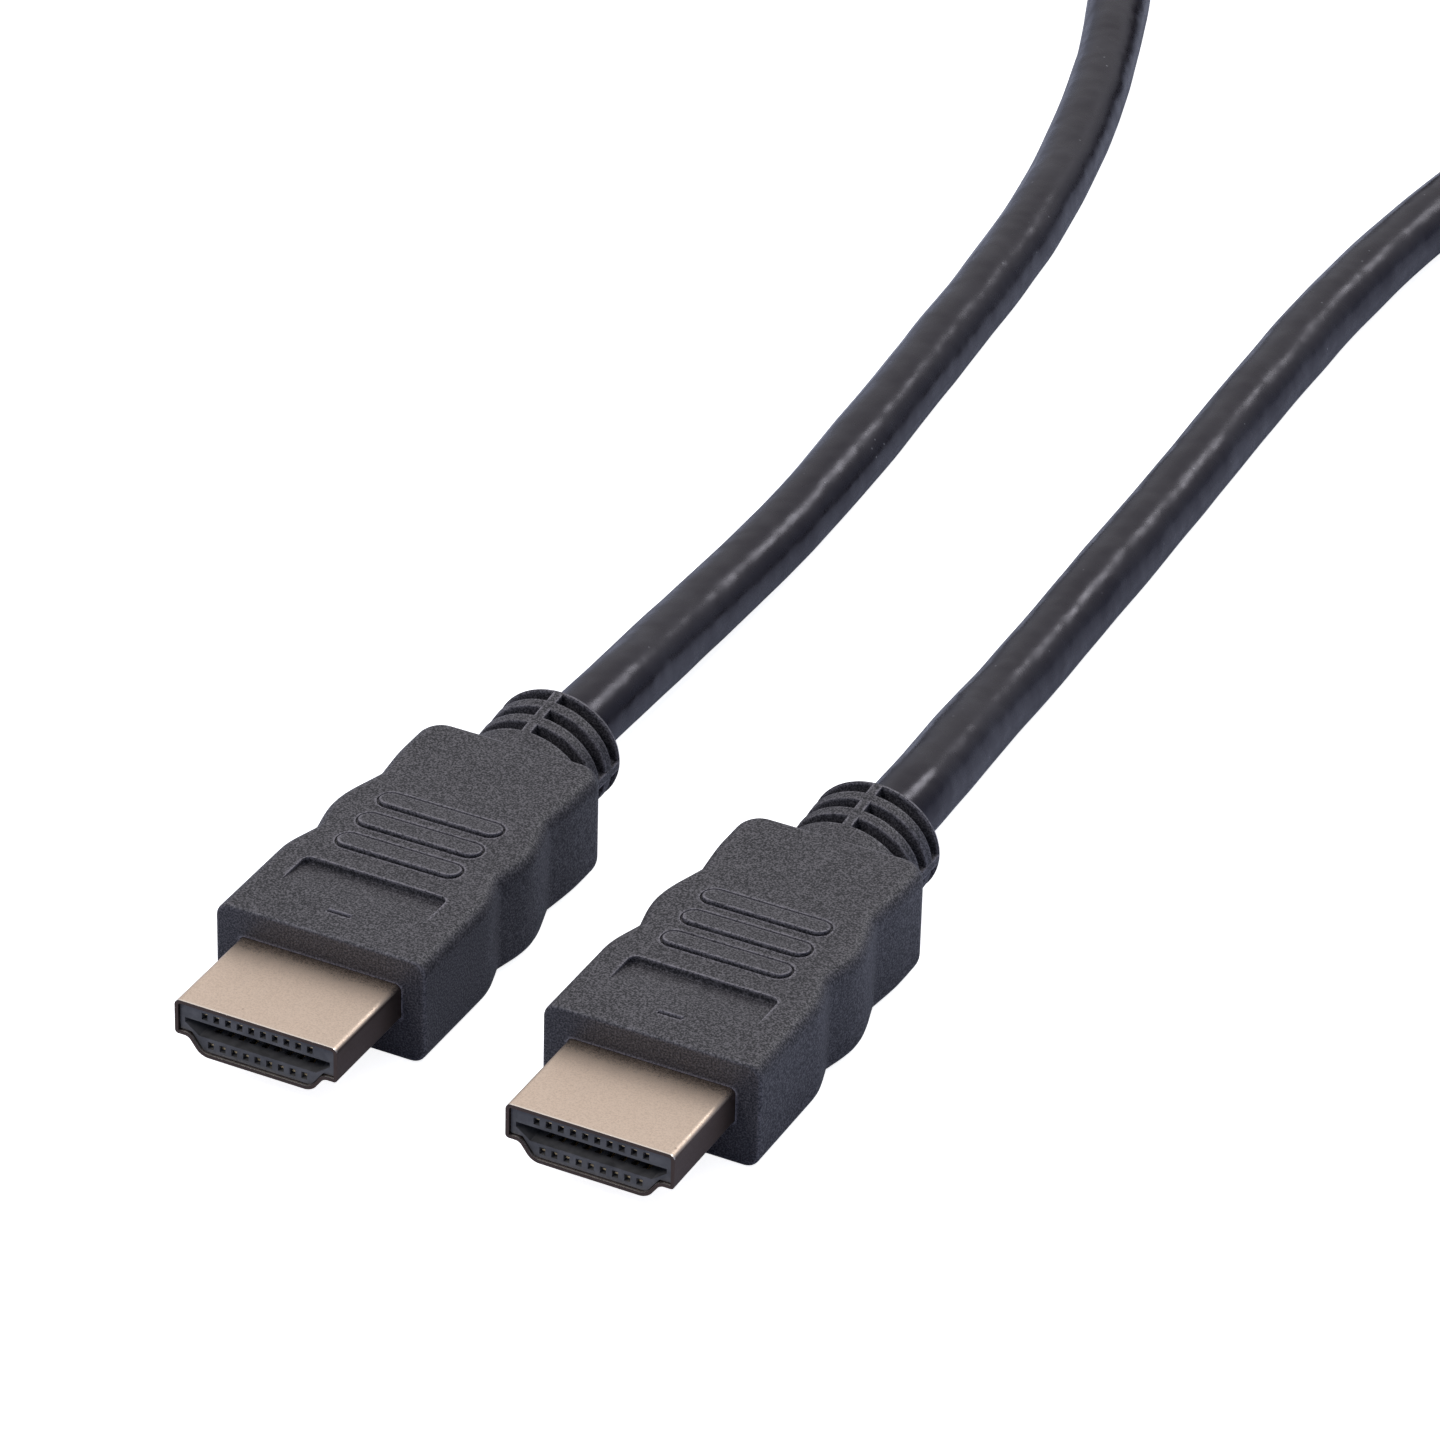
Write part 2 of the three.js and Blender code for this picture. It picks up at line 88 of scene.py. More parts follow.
ROUTE_A = [
    (-0.014, 0.0231, 0.005),
    (-0.014, 0.02955, 0.0049),
    (-0.0142, 0.03555, 0.00445),
    (-0.0146, 0.04255, 0.00375),
    (-0.01485, 0.05055, 0.0032),
    (-0.0149, 0.06055, 0.00297),
    (-0.0151, 0.07055, 0.00297),
    (-0.01575, 0.08155, 0.00297),
    (-0.0166, 0.09255, 0.00297),
    (-0.0176, 0.10355, 0.00297),
    (-0.0186, 0.11455, 0.00297),
    (-0.0202, 0.12755, 0.00297),
    (-0.0227, 0.14055, 0.00297),
    (-0.0263, 0.15455, 0.00297),
    (-0.0312, 0.16955, 0.00297),
    (-0.037, 0.18455, 0.00297),
    (-0.0425, 0.19855, 0.00297),
    (-0.0458, 0.21005, 0.00297),
    (-0.0476, 0.22255, 0.00297),
]
ROUTE_B = [
    (0.014, 0.0231, 0.005),
    (0.014, 0.02955, 0.0049),
    (0.0136, 0.03555, 0.00445),
    (0.013, 0.04255, 0.00375),
    (0.0126, 0.05055, 0.0032),
    (0.0122, 0.06055, 0.00297),
    (0.0119, 0.07055, 0.00297),
    (0.01155, 0.08155, 0.00297),
    (0.01115, 0.09255, 0.00297),
    (0.0107, 0.10355, 0.00297),
    (0.01035, 0.11455, 0.00297),
    (0.0103, 0.12755, 0.00297),
    (0.0109, 0.14055, 0.00297),
    (0.0125, 0.15455, 0.00297),
    (0.0153, 0.16955, 0.00297),
    (0.019, 0.18455, 0.0034),
    (0.0228, 0.19855, 0.0049),
    (0.0257, 0.21005, 0.0066),
    (0.0276, 0.22255, 0.0083),
]


class PlugShape(bpy.types.PropertyGroup):
    """Sizes of the moulded body, in millimetres"""

    body_height: FloatProperty(name="Body height", description="Height of the moulded body", default=9.1)
    body_length: FloatProperty(
        name="Body length", description="Length without the strain relief", default=30.6,
    )
    edge_round: FloatProperty(name="Edge round", description="Radius along the long edges", default=1.3)
    tail_round: FloatProperty(
        name="Tail round", description="Radius of the rear corners from above", default=1.5,
    )
    tail_edge: FloatProperty(name="Tail edge", description="Rounding of the rear top edge", default=0.5)
    grip_start: FloatProperty(name="Grip start", description="Where the sides start to wave", default=9.2)
    groove_one_at: FloatProperty(name="First groove", description="Distance from the front", default=13.3)
    groove_one_inset: FloatProperty(
        name="First groove depth", description="Depth from full width", default=0.95,
    )
    lobe_at: FloatProperty(name="Lobe", description="Distance from the front", default=17.1)
    lobe_inset: FloatProperty(name="Lobe inset", description="Depth from full width", default=0.3)
    groove_two_at: FloatProperty(name="Second groove", description="Distance from the front", default=22.4)
    groove_two_inset: FloatProperty(
        name="Second groove depth", description="Depth from full width", default=1.5,
    )
    tail_at: FloatProperty(name="Tail", description="Where the sides run straight again", default=27.0)
    tail_inset: FloatProperty(name="Tail inset", description="Depth from full width", default=1.1)
    panel_width: FloatProperty(name="Panel width", description="Width of the sloping panel", default=12.4)
    panel_at: FloatProperty(name="Panel front", description="Distance from the front", default=5.0)
    panel_length: FloatProperty(name="Panel length", description="Length along the plug", default=3.8)
    panel_depth: FloatProperty(name="Panel depth", description="Depth at its rear wall", default=0.62)
    panel_round: FloatProperty(name="Panel corner", description="Radius of its rear corners", default=0.7)
    dash_at: FloatProperty(name="Dash", description="Distance from the front", default=3.0)
    rib_count: IntProperty(name="Finger ribs", description="Number of ribs on the top", default=3)
    rib_at: FloatProperty(name="First rib", description="Distance from the front", default=11.2)
    rib_pitch: FloatProperty(name="Rib pitch", description="Distance between ribs", default=3.27)
    rib_width: FloatProperty(name="Rib width", description="Width across the plug", default=10.6)
    rib_length: FloatProperty(name="Rib length", description="Length along the plug", default=2.0)
    rib_height: FloatProperty(name="Rib height", description="Height of its front step", default=0.28)
    rib_tail: FloatProperty(name="Rib tail", description="Height of its rear step", default=0.03)
    moat_width: FloatProperty(name="Rib moat", description="Width of the groove round a rib", default=0.2)
    moat_depth: FloatProperty(name="Rib moat depth", description="Depth of that groove", default=0.2)
    relief_base: FloatProperty(
        name="Relief base", description="Height of the strain relief's base", default=8.9,
    )
    relief_end: FloatProperty(
        name="Relief end", description="Height of the strain relief's end", default=9.8,
    )
    relief_width: FloatProperty(name="Relief width", description="Width of the strain relief", default=10.9)
    slot_count: IntProperty(name="Slots", description="Number of cross slots", default=3)
    slot_at: FloatProperty(name="First slot", description="Distance behind the body", default=2.5)
    slot_pitch: FloatProperty(name="Slot pitch", description="Distance between slots", default=2.1)
    slot_width: FloatProperty(name="Slot width", description="Width of a slot", default=1.05)
    slot_depth: FloatProperty(name="Slot depth", description="Depth of a slot", default=1.2)
    bridge_width: FloatProperty(
        name="Bridge width", description="Width of the bridges over the slots", default=0.8,
    )
    shell_height: FloatProperty(name="Shell height", description="Height of the metal nose", default=4.45)
    shell_wall: FloatProperty(name="Shell wall", description="Thickness of the sheet metal", default=0.3)


class CableShape(bpy.types.PropertyGroup):
    """Sizes of the cable, its coil and the tie, in millimetres"""

    diameter: FloatProperty(name="Diameter", description="Diameter of the jacket", default=5.9)
    length: FloatProperty(name="Length", description="Length from plug to plug", default=1500.0)
    coil_x: FloatProperty(name="Coil X", description="Middle of the coil", default=-10.0)
    coil_y: FloatProperty(name="Coil Y", description="Middle of the coil", default=236.5)
    coil_middle: FloatProperty(name="Coil diameter", description="At the middle of its turns", default=60.0)
    coil_turns: FloatProperty(name="Turns in a layer", description="The coil has two layers", default=2.75)
    lumps: FloatProperty(name="Lumps", description="How far the wires inside push the jacket", default=0.22)
    lump_size: FloatProperty(name="Lump size", description="Length of one lump", default=11.0)
    tie_thickness: FloatProperty(name="Tie thickness", description="Thickness of the tape", default=0.9)


class Finishes(bpy.types.PropertyGroup):
    """Colours, in linear light"""

    mould_dark: FloatVectorProperty(
        name="Moulded black, dark", description="Hollows of the grain", subtype="COLOR", size=4,
        default=(0.004, 0.0038, 0.0065, 1.0),
    )
    mould_light: FloatVectorProperty(
        name="Moulded black, light", description="Tips of the grain", subtype="COLOR", size=4,
        default=(0.125, 0.117, 0.127, 1.0),
    )
    # Painted highlight: the colour of the speckled light line along the moulded black's convex edges
    mould_edge_highlight: FloatVectorProperty(
        name="Moulded black, edges", description="Rubbed convex edges", subtype="COLOR", size=4,
        default=(0.24, 0.225, 0.25, 1.0),
    )
    nickel: FloatVectorProperty(
        name="Shell", description="Champagne plating", subtype="COLOR", size=4,
        default=(0.8, 0.655, 0.53, 1.0),
    )
    nickel_worn: FloatVectorProperty(
        name="Shell, worn", description="Specks and rubbed places", subtype="COLOR", size=4,
        default=(0.5, 0.39, 0.3, 1.0),
    )
    # Painted shade: the dark brown of the shell's upright sides and of the band beside the grip
    nickel_shade: FloatVectorProperty(
        name="Shell, sides", description="Plating on the upright faces", subtype="COLOR", size=4,
        default=(0.11, 0.08, 0.066, 1.0),
    )
    # Painted highlight: the colour of the bright line along the shell's bends
    nickel_bend_highlight: FloatVectorProperty(
        name="Shell, edges", description="Bright line along its bends", subtype="COLOR", size=4,
        default=(1.0, 0.92, 0.82, 1.0),
    )
    insulator: FloatVectorProperty(
        name="Insulator", description="Smooth black plastic", subtype="COLOR", size=4,
        default=(0.062, 0.06, 0.06, 1.0),
    )
    contact: FloatVectorProperty(
        name="Contacts", description="Gold plate", subtype="COLOR", size=4,
        default=(0.83, 0.66, 0.38, 1.0),
    )
    jacket: FloatVectorProperty(
        name="Jacket", description="Satin black jacket", subtype="COLOR", size=4,
        default=(0.0105, 0.0085, 0.0118, 1.0),
    )
    dust: FloatVectorProperty(
        name="Dust", description="Dust specks on the jacket", subtype="COLOR", size=4,
        default=(0.2, 0.2, 0.21, 1.0),
    )
    tape: FloatVectorProperty(
        name="Tie", description="Woven tape", subtype="COLOR", size=4,
        default=(0.014, 0.014, 0.015, 1.0),
    )


class Studio(bpy.types.PropertyGroup):
    """Camera and light"""

    azimuth: FloatProperty(
        name="Azimuth", description="Camera's turn to the right of the plugs", subtype="ANGLE",
        default=math.radians(26.206),
    )
    elevation: FloatProperty(
        name="Elevation", description="Camera's height angle", subtype="ANGLE",
        default=math.radians(31.73),
    )
    roll: FloatProperty(
        name="Roll", description="Camera's tilt", subtype="ANGLE", default=math.radians(1.552),
    )
    distance: FloatProperty(name="Distance", description="Camera to target", unit="LENGTH", default=0.5604)
    target: FloatVectorProperty(
        name="Target", description="Point at the middle of the picture", subtype="TRANSLATION",
        default=(-0.0052, 0.03456, 0.004),
    )
    focal_pixels: FloatProperty(
        name="Focal length", description="In pixels of the 1440 pixel frame", default=7000.0,
    )
    key_power: FloatProperty(name="Key light", description="Softbox behind, in watts", default=1.35)
    edge_power: FloatProperty(name="Edge light", description="Softbox in front, in watts", default=3.0)
    room_high: FloatProperty(name="Room, bright side", description="Above and behind", default=0.8)
    room_low: FloatProperty(name="Room, dark side", description="In front, low down", default=0.28)


# Making meshes


def prism(corners, run, rounds=None):
    """A bmesh prism: a face through the corners, run along a vector, its long edges rounded."""
    bm = bmesh.new()
    face = bm.faces.new([bm.verts.new(corner) for corner in corners])
    run = Vector(run)
    grown = bmesh.ops.extrude_face_region(bm, geom=[face])["geom"]
    bmesh.ops.translate(bm, vec=run, verts=[g for g in grown if isinstance(g, bmesh.types.BMVert)])
    fill_holes(bm)
    for radius in sorted(set(rounds or [])):
        starts = [Vector(c) for c, r in zip(corners, rounds) if r == radius]
        edges = [e for e in bm.edges if is_long_edge(e, starts, run)]
        bmesh.ops.bevel(
            bm, geom=edges, offset=radius, offset_type="OFFSET", segments=6, profile=0.5,
            affect="EDGES", material=-1, clamp_overlap=False,
        )
    bmesh.ops.recalc_face_normals(bm, faces=bm.faces)
    return bm


def rectangle(half, front, rear, z):
    """Corners of a level rectangle, as wide to the left of x = 0 as to the right."""
    return [(-half, front, z), (half, front, z), (half, rear, z), (-half, rear, z)]


def is_long_edge(edge, starts, run):
    ends = [v.co for v in edge.verts]
    near = 1e-4
    return any(
        (ends[i] - start).length < near and (ends[1 - i] - start - run).length < near
        for start in starts
        for i in (0, 1)
    )


def fill_holes(bm):
    open_edges = [e for e in bm.edges if e.is_boundary]
    if open_edges:
        bmesh.ops.holes_fill(bm, edges=open_edges, sides=0)


def soften(bm, edges, offset, segments=2):
    bmesh.ops.bevel(
        bm, geom=edges, offset=offset, offset_type="OFFSET", segments=segments, profile=0.5,
        affect="EDGES", material=-1, clamp_overlap=True,
    )


def to_object(name, bm):
    mesh = bpy.data.meshes.new(name)
    bmesh.ops.recalc_face_normals(bm, faces=bm.faces)
    bm.to_mesh(mesh)
    bm.free()
    piece = bpy.data.objects.new(name, mesh)
    bpy.context.scene.collection.objects.link(piece)
    return piece


def apply_modifiers(piece):
    bpy.context.view_layer.update()
    depsgraph = bpy.context.evaluated_depsgraph_get()
    made = bpy.data.meshes.new_from_object(piece.evaluated_get(depsgraph))
    piece.modifiers.clear()
    old = piece.data
    piece.data = made
    bpy.data.meshes.remove(old)


def combine(piece, tools, operation):
    """Joins, cuts or meets a piece with tools, which are used up."""
    for tool in tools:
        modifier = piece.modifiers.new(operation, "BOOLEAN")
        modifier.operation = operation
        modifier.solver = "EXACT"
        modifier.object = tool
        apply_modifiers(piece)
        mesh = tool.data
        bpy.data.objects.remove(tool)
        bpy.data.meshes.remove(mesh)
    return piece


def smooth(piece, degrees=32):
    for face in piece.data.polygons:
        face.use_smooth = True
    piece.data.set_sharp_from_angle(angle=math.radians(degrees))
    modifier = piece.modifiers.new("Weighted normals", "WEIGHTED_NORMAL")
    modifier.keep_sharp = True
    apply_modifiers(piece)


def placed_copy(name, master, x):
    """A copy of a master made in millimetres around x = 0, placed in the frame in metres."""
    mesh = master.data.copy()
    mesh.name = name
    mesh.transform(Matrix.Scale(MM, 4) @ Matrix.Translation((x, 0, 0)))
    piece = bpy.data.objects.new(name, mesh)
    bpy.context.scene.collection.objects.link(piece)
    return piece


def drop(piece):
    mesh = piece.data
    bpy.data.objects.remove(piece)
    bpy.data.meshes.remove(mesh)


def plug_x(letter):
    return -PLUG_X if letter == "a" else PLUG_X


def dress(piece, material):
    piece.data.materials.clear()
    piece.data.materials.append(material)
    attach(piece, BODY)


# Making materials


class Shader:
    """A node material on a piece's Object coordinates, with short ways to add its nodes."""

    def __init__(self, name):
        self.material = bpy.data.materials.new(name)
        self.material.use_nodes = True
        self.tree = self.material.node_tree
        self.surface = self.tree.nodes["Principled BSDF"]
        where = self.node("ShaderNodeTexCoord")
        self.place = where.outputs["Object"]
        self.facing = where.outputs["Normal"]

    def node(self, kind, **settings):
        made = self.tree.nodes.new(kind)
        for key, value in settings.items():
            setattr(made, key, value)
        return made

    def link(self, output, socket):
        self.tree.links.new(output, socket)

    def stretch(self, scale, turn=(0, 0, 0)):
        mapping = self.node("ShaderNodeMapping")
        mapping.inputs["Scale"].default_value = scale
        mapping.inputs["Rotation"].default_value = turn
        self.link(self.place, mapping.inputs["Vector"])
        return mapping.outputs["Vector"]

    def noise(self, size, detail=2.0, roughness=0.5, place=None):
        noise = self.node("ShaderNodeTexNoise")
        noise.inputs["Scale"].default_value = 1 / size
        noise.inputs["Detail"].default_value = detail
        noise.inputs["Roughness"].default_value = roughness
        self.link(place or self.place, noise.inputs["Vector"])
        return noise.outputs["Fac"]

    def spots(self, size, place=None):
        cells = self.node("ShaderNodeTexVoronoi")
        cells.inputs["Scale"].default_value = 1 / size
        self.link(place or self.place, cells.inputs["Vector"])
        return cells.outputs["Distance"]

    def upwards(self):
        """How far a face looks up or down, from 0 to 1."""
        split = self.node("ShaderNodeSeparateXYZ")
        self.link(self.facing, split.inputs["Vector"])
        return self.math("ABSOLUTE", split.outputs["Z"], 0.0)

    def openness(self, reach, inside=False):
        """1 where a face is free, less beside another face or, looking inside, at an edge."""
        occlusion = self.node("ShaderNodeAmbientOcclusion", inside=inside, only_local=inside, samples=6)
        occlusion.inputs["Distance"].default_value = reach
        return occlusion.outputs["AO"]

    def ridges(self, reach):
        """A mask of the convex edges."""
        return self.remap(self.openness(reach, True), 0.9, 0.62)

    def remap(self, value, low, high, to_low=0.0, to_high=1.0):
        remap = self.node("ShaderNodeMapRange")
        for name, number in zip(
            ("From Min", "From Max", "To Min", "To Max"), (low, high, to_low, to_high)
        ):
            remap.inputs[name].default_value = number
        self.link(value, remap.inputs["Value"])
        return remap.outputs["Result"]

    def math(self, operation, first, second):
        node = self.node("ShaderNodeMath", operation=operation)
        for socket, value in zip(node.inputs, (first, second)):
            if isinstance(value, float):
                socket.default_value = value
            else:
                self.link(value, socket)
        return node.outputs["Value"]

    def mix(self, factor, first, second):
        mix = self.node("ShaderNodeMix", data_type="RGBA")
        self.link(factor, mix.inputs["Factor"])
        for socket, value in ((mix.inputs[6], first), (mix.inputs[7], second)):
            if hasattr(value, "links"):
                self.link(value, socket)
            else:
                socket.default_value = value
        return mix.outputs[2]

    def bump(self, height, strength, depth, before=None):
        bump = self.node("ShaderNodeBump")
        bump.inputs["Strength"].default_value = strength
        bump.inputs["Distance"].default_value = depth
        self.link(height, bump.inputs["Height"])
        if before is not None:
            self.link(before, bump.inputs["Normal"])
        return bump.outputs["Normal"]

    def finish(self, colour=None, roughness=None, normal=None, **fixed):
        for socket, value in (("Base Color", colour), ("Roughness", roughness), ("Normal", normal)):
            if value is not None:
                self.link(value, self.surface.inputs[socket])
        for socket, value in fixed.items():
            self.surface.inputs[socket.replace("_", " ")].default_value = value
        return self.material


def moulded_black(finishes):
    """Spark-eroded black plastic: a fine grain in soft patches, with a painted highlight along its convex
    edges and painted shade on its upright faces.
    """
    shader = Shader("moulded black")
    grain = shader.noise(0.00015, 1.0, 0.6)
    pits = shader.noise(0.00045, 2.0, 0.5)
    patches = shader.noise(0.007, 3.0, 0.55)
    speckle = shader.math("ADD", shader.remap(grain, 0.42, 0.68), shader.remap(pits, 0.45, 0.75, 0.0, 0.15))
    tone = shader.math("ADD", speckle, shader.remap(patches, 0.3, 0.7, 0.0, 0.08))
    # Painted shade: upright faces get a darker tone than the top
    tone = shader.math("MULTIPLY", tone, shader.remap(shader.upwards(), 0.2, 0.8, 0.7, 1.0))
    colour = shader.mix(tone, finishes.mould_dark, finishes.mould_light)
    # Painted highlight: the convex edges are lightened in speckles, as a glint along them would look
    rubbed = shader.math("MULTIPLY", shader.ridges(0.0003), shader.remap(grain, 0.25, 0.55))
    colour = shader.mix(rubbed, colour, finishes.mould_edge_highlight)
    roughness = shader.remap(grain, 0.3, 0.7, 0.66, 0.44)
    normal = shader.bump(grain, 0.3, 0.00003)
    normal = shader.bump(pits, 0.2, 0.00003, normal)
    return shader.finish(colour, roughness, normal)


def champagne_plate(finishes):
    """Satin plated sheet, sandy and specked, with a painted highlight at its bends and painted shade on its
    upright sides and beside the grip.
    """
    shader = Shader("champagne plate")
    sand = shader.noise(0.00013, 2.0, 0.6)
    clouds = shader.noise(0.004, 2.0, 0.5)
    streaks = shader.noise(0.0016, 3.0, 0.6, shader.stretch((1.0, 0.2, 1.0), (0, 0, 0.12)))
    specks = shader.spots(0.0021)
    dirt = shader.math("MULTIPLY", shader.remap(specks, 0.06, 0.03), shader.remap(clouds, 0.5, 0.56))
    wear = shader.math("ADD", shader.remap(sand, 0.4, 0.75, 0.0, 0.5), dirt)
    colour = shader.mix(wear, finishes.nickel, finishes.nickel_worn)
    # Painted shade: the sheet turns dark where another face is near, as beside the grip, broken up by the
    # sand
    occlusion_shade = shader.math("ADD", shader.openness(0.0024), shader.remap(sand, 0.3, 0.7, -0.14, 0.14))
    colour = shader.mix(shader.remap(occlusion_shade, 0.84, 0.56), colour, finishes.nickel_shade)
    # Painted shade: upright faces of the sheet are darker than its level faces
    upright = shader.remap(shader.upwards(), 0.75, 0.4)
    colour = shader.mix(upright, colour, finishes.nickel_shade)
    # Painted highlight: convex bends of the level faces are lightened, and made a little glossier
    bend = shader.math("MULTIPLY", shader.ridges(0.00025), shader.remap(shader.upwards(), 0.2, 0.5))
    colour = shader.mix(bend, colour, finishes.nickel_bend_highlight)
    satin = shader.remap(shader.math("ADD", sand, streaks), 0.7, 1.3, 0.46, 0.58)
    roughness = shader.math("SUBTRACT", satin, shader.remap(bend, 0.0, 1.0, 0.0, 0.24))
    normal = shader.bump(sand, 0.3, 0.00002)
    normal = shader.bump(streaks, 0.1, 0.00002, normal)
    return shader.finish(colour, roughness, normal, Metallic=1.0)


def insulator_black(finishes):
    """Smooth glass-filled plastic, a little cloudy."""
    shader = Shader("insulator black")
    clouds = shader.noise(0.0011, 3.0, 0.6)
    light = [min(1.0, c * 1.9) for c in finishes.insulator[:3]] + [1.0]
    colour = shader.mix(shader.remap(clouds, 0.35, 0.7), finishes.insulator, light)
    roughness = shader.remap(clouds, 0.3, 0.7, 0.38, 0.55)
    normal = shader.bump(shader.noise(0.0003, 2.0, 0.5), 0.2, 0.00002)
    return shader.finish(colour, roughness, normal)


def contact_gold(finishes):
    """Gold plate with fine draw marks along the strip."""
    shader = Shader("contact gold")
    marks = shader.noise(0.00016, 2.0, 0.5, shader.stretch((1.0, 0.1, 1.0)))
    dull = [c * 0.6 for c in finishes.contact[:3]] + [1.0]
    colour = shader.mix(shader.remap(marks, 0.45, 0.75), finishes.contact, dull)
    roughness = shader.remap(marks, 0.3, 0.7, 0.2, 0.38)
    return shader.finish(colour, roughness, Metallic=1.0)


def jacket_black(finishes):
    """Satin jacket: slight waves from the wires inside, faint rub marks and dust specks."""
    shader = Shader("jacket black")
    waves = shader.noise(0.013, 3.0, 0.5)
    skin = shader.noise(0.0005, 2.0, 0.6)
    rubbed = shader.noise(0.0022, 3.0, 0.6)
    specks = shader.math(
        "MULTIPLY",
        shader.remap(shader.spots(0.0015), 0.075, 0.045),
        shader.remap(shader.noise(0.004, 1.0), 0.52, 0.6),
    )
    colour = shader.mix(specks, finishes.jacket, finishes.dust)
    roughness = shader.remap(rubbed, 0.3, 0.7, 0.22, 0.34)
    normal = shader.bump(waves, 0.75, 0.0011)
    normal = shader.bump(skin, 0.15, 0.00003, normal)
    return shader.finish(
        colour, roughness, normal, Specular_IOR_Level=0.33, Specular_Tint=(0.87, 0.84, 1.0, 1.0),
    )


def tape_black(finishes):
    """Woven hook-and-loop tape: crossed ribs with fuzz."""
    shader = Shader("tape black")
    weave = shader.node("ShaderNodeTexWave", wave_type="BANDS", bands_direction="DIAGONAL")
    weave.inputs["Scale"].default_value = 900.0
    weave.inputs["Distortion"].default_value = 2.0
    shader.link(shader.place, weave.inputs["Vector"])
    fuzz = shader.noise(0.0002, 3.0, 0.7)
    light = [c * 3.0 for c in finishes.tape[:3]] + [1.0]
    colour = shader.mix(shader.remap(fuzz, 0.45, 0.75), finishes.tape, light)
    normal = shader.bump(shader.math("ADD", weave.outputs["Fac"], fuzz), 0.6, 0.00012)
    return shader.finish(colour, None, normal, Roughness=0.92)


# Shapes of a plug, made around x = 0 in millimetres


def side_inset(shape, distance):
    """How far a side of the body lies inside its full width: front, groove, lobe, groove, tail."""
    stations = [
        (shape.grip_start, 0.0),
        (shape.groove_one_at, shape.groove_one_inset),
        (shape.lobe_at, shape.lobe_inset),
        (shape.groove_two_at, shape.groove_two_inset),
        (shape.tail_at, shape.tail_inset),
    ]
    if distance <= shape.grip_start:
        return 0.0
    if distance >= shape.tail_at:
        return shape.tail_inset
    index = next(i for i, (at, _) in enumerate(stations) if at > distance) - 1
    (from_at, from_inset), (to_at, to_inset) = stations[index : index + 2]
    share = (distance - from_at) / (to_at - from_at)
    if to_inset < from_inset:
        crease = math.sin(share * math.pi / 2)
    else:
        crease = 1 - math.cos(share * math.pi / 2)
    wave = (1 - math.cos(share * math.pi)) / 2
    return from_inset + (to_inset - from_inset) * (crease * 0.75 + wave * 0.25)


def body_plan(shape):
    """The body's outline from above, drawn past its front and rear planes."""
    steps = 64
    front = BODY_FRONT - shape.edge_round * 2
    rear = BODY_FRONT + shape.body_length + shape.edge_round - shape.tail_edge
    tail = BODY_WIDTH / 2 - shape.tail_inset
    side = [(BODY_WIDTH / 2, front)]
    for step in range(steps + 1):
        distance = shape.grip_start + (shape.tail_at - shape.grip_start) * step / steps
        side.append((BODY_WIDTH / 2 - side_inset(shape, distance), BODY_FRONT + distance))
    radius = shape.tail_round + shape.edge_round - shape.tail_edge
    for step in range(13):
        turn = math.pi / 2 * step / 12
        side.append((tail - radius + radius * math.cos(turn), rear - radius + radius * math.sin(turn)))
    return side + [(-x, y) for x, y in reversed(side)]


def trim(bm, y, outward):
    """Cuts a bmesh off at a plane across Y, closes it and gives back the new face's edges."""
    geom = bm.verts[:] + bm.edges[:] + bm.faces[:]
    bmesh.ops.bisect_plane(
        bm, geom=geom, plane_co=(0, y, 0), plane_no=(0, outward, 0), clear_outer=True, dist=1e-5,
    )
    fill_holes(bm)
    return [e for e in bm.edges if all(abs(v.co.y - y) < 1e-3 for v in e.verts)]


def make_body(shape):
    height = shape.body_height
    bm = prism([(x, y, 0) for x, y in body_plan(shape)], (0, 0, height))
    rims = [e for e in bm.edges if abs(e.verts[0].co.z - e.verts[1].co.z) < 1e-4]
    bmesh.ops.bevel(
        bm, geom=rims, offset=shape.edge_round, offset_type="OFFSET", segments=8, profile=0.5,
        affect="EDGES", material=-1, clamp_overlap=False,
    )
    soften(bm, trim(bm, BODY_FRONT, -1), 0.28, 4)
    soften(bm, trim(bm, BODY_FRONT + shape.body_length, 1), 0.25, 3)
    return to_object("overmould master", bm)


def make_panel_cutter(shape):
    """The space above the sloping panel: level with the top in front, deep at its rear wall."""
    front = BODY_FRONT + shape.panel_at
    top = shape.body_height
    corners = rectangle(shape.panel_width / 2, front, front + shape.panel_length, top + 1)
    rounds = [0.12, 0.12, shape.panel_round, shape.panel_round]
    bm = prism(corners, (0, 0, -2), rounds)
    floor = [v for v in bm.verts if v.co.z < top]
    for vert in floor:
        share = (vert.co.y - front) / shape.panel_length
        vert.co.z = top - shape.panel_depth * share
    floor_edges = [e for e in bm.edges if all(v in floor for v in e.verts)]
    soften(bm, [e for e in floor_edges if min(v.co.y for v in e.verts) > front + 1], 0.12)
    return to_object("panel cutter", bm)


def make_ramp_bar(width, front, length, top, height, tail, base, radius):
    """A bar that is steep in front and slopes down to a low step at its rear."""
    corners = rectangle(width / 2, front, front + length, base)
    bm = prism(corners, (0, 0, top + 1 - base), [radius] * 4)
    roof = [v for v in bm.verts if v.co.z > top]
    for vert in roof:
        share = (vert.co.y - front) / length
        vert.co.z = top + height * (1 - share) + tail * share
    roof_edges = [e for e in bm.edges if all(v in roof for v in e.verts)]
    soften(bm, roof_edges, 0.08, 2)
    return to_object("bar", bm)


def make_moat(shape, rib):
    """The space of a rib and of the fine groove round it."""
    half = shape.rib_width / 2 + shape.moat_width
    front = BODY_FRONT + shape.rib_at + shape.rib_pitch * rib - shape.moat_width
    rear = front + shape.rib_length + shape.moat_width * 2
    corners = rectangle(half, front, rear, shape.body_height - shape.moat_depth)
    radius = shape.rib_length * 0.48 + shape.moat_width
    return to_object("moat", prism(corners, (0, 0, 1), [radius] * 4))


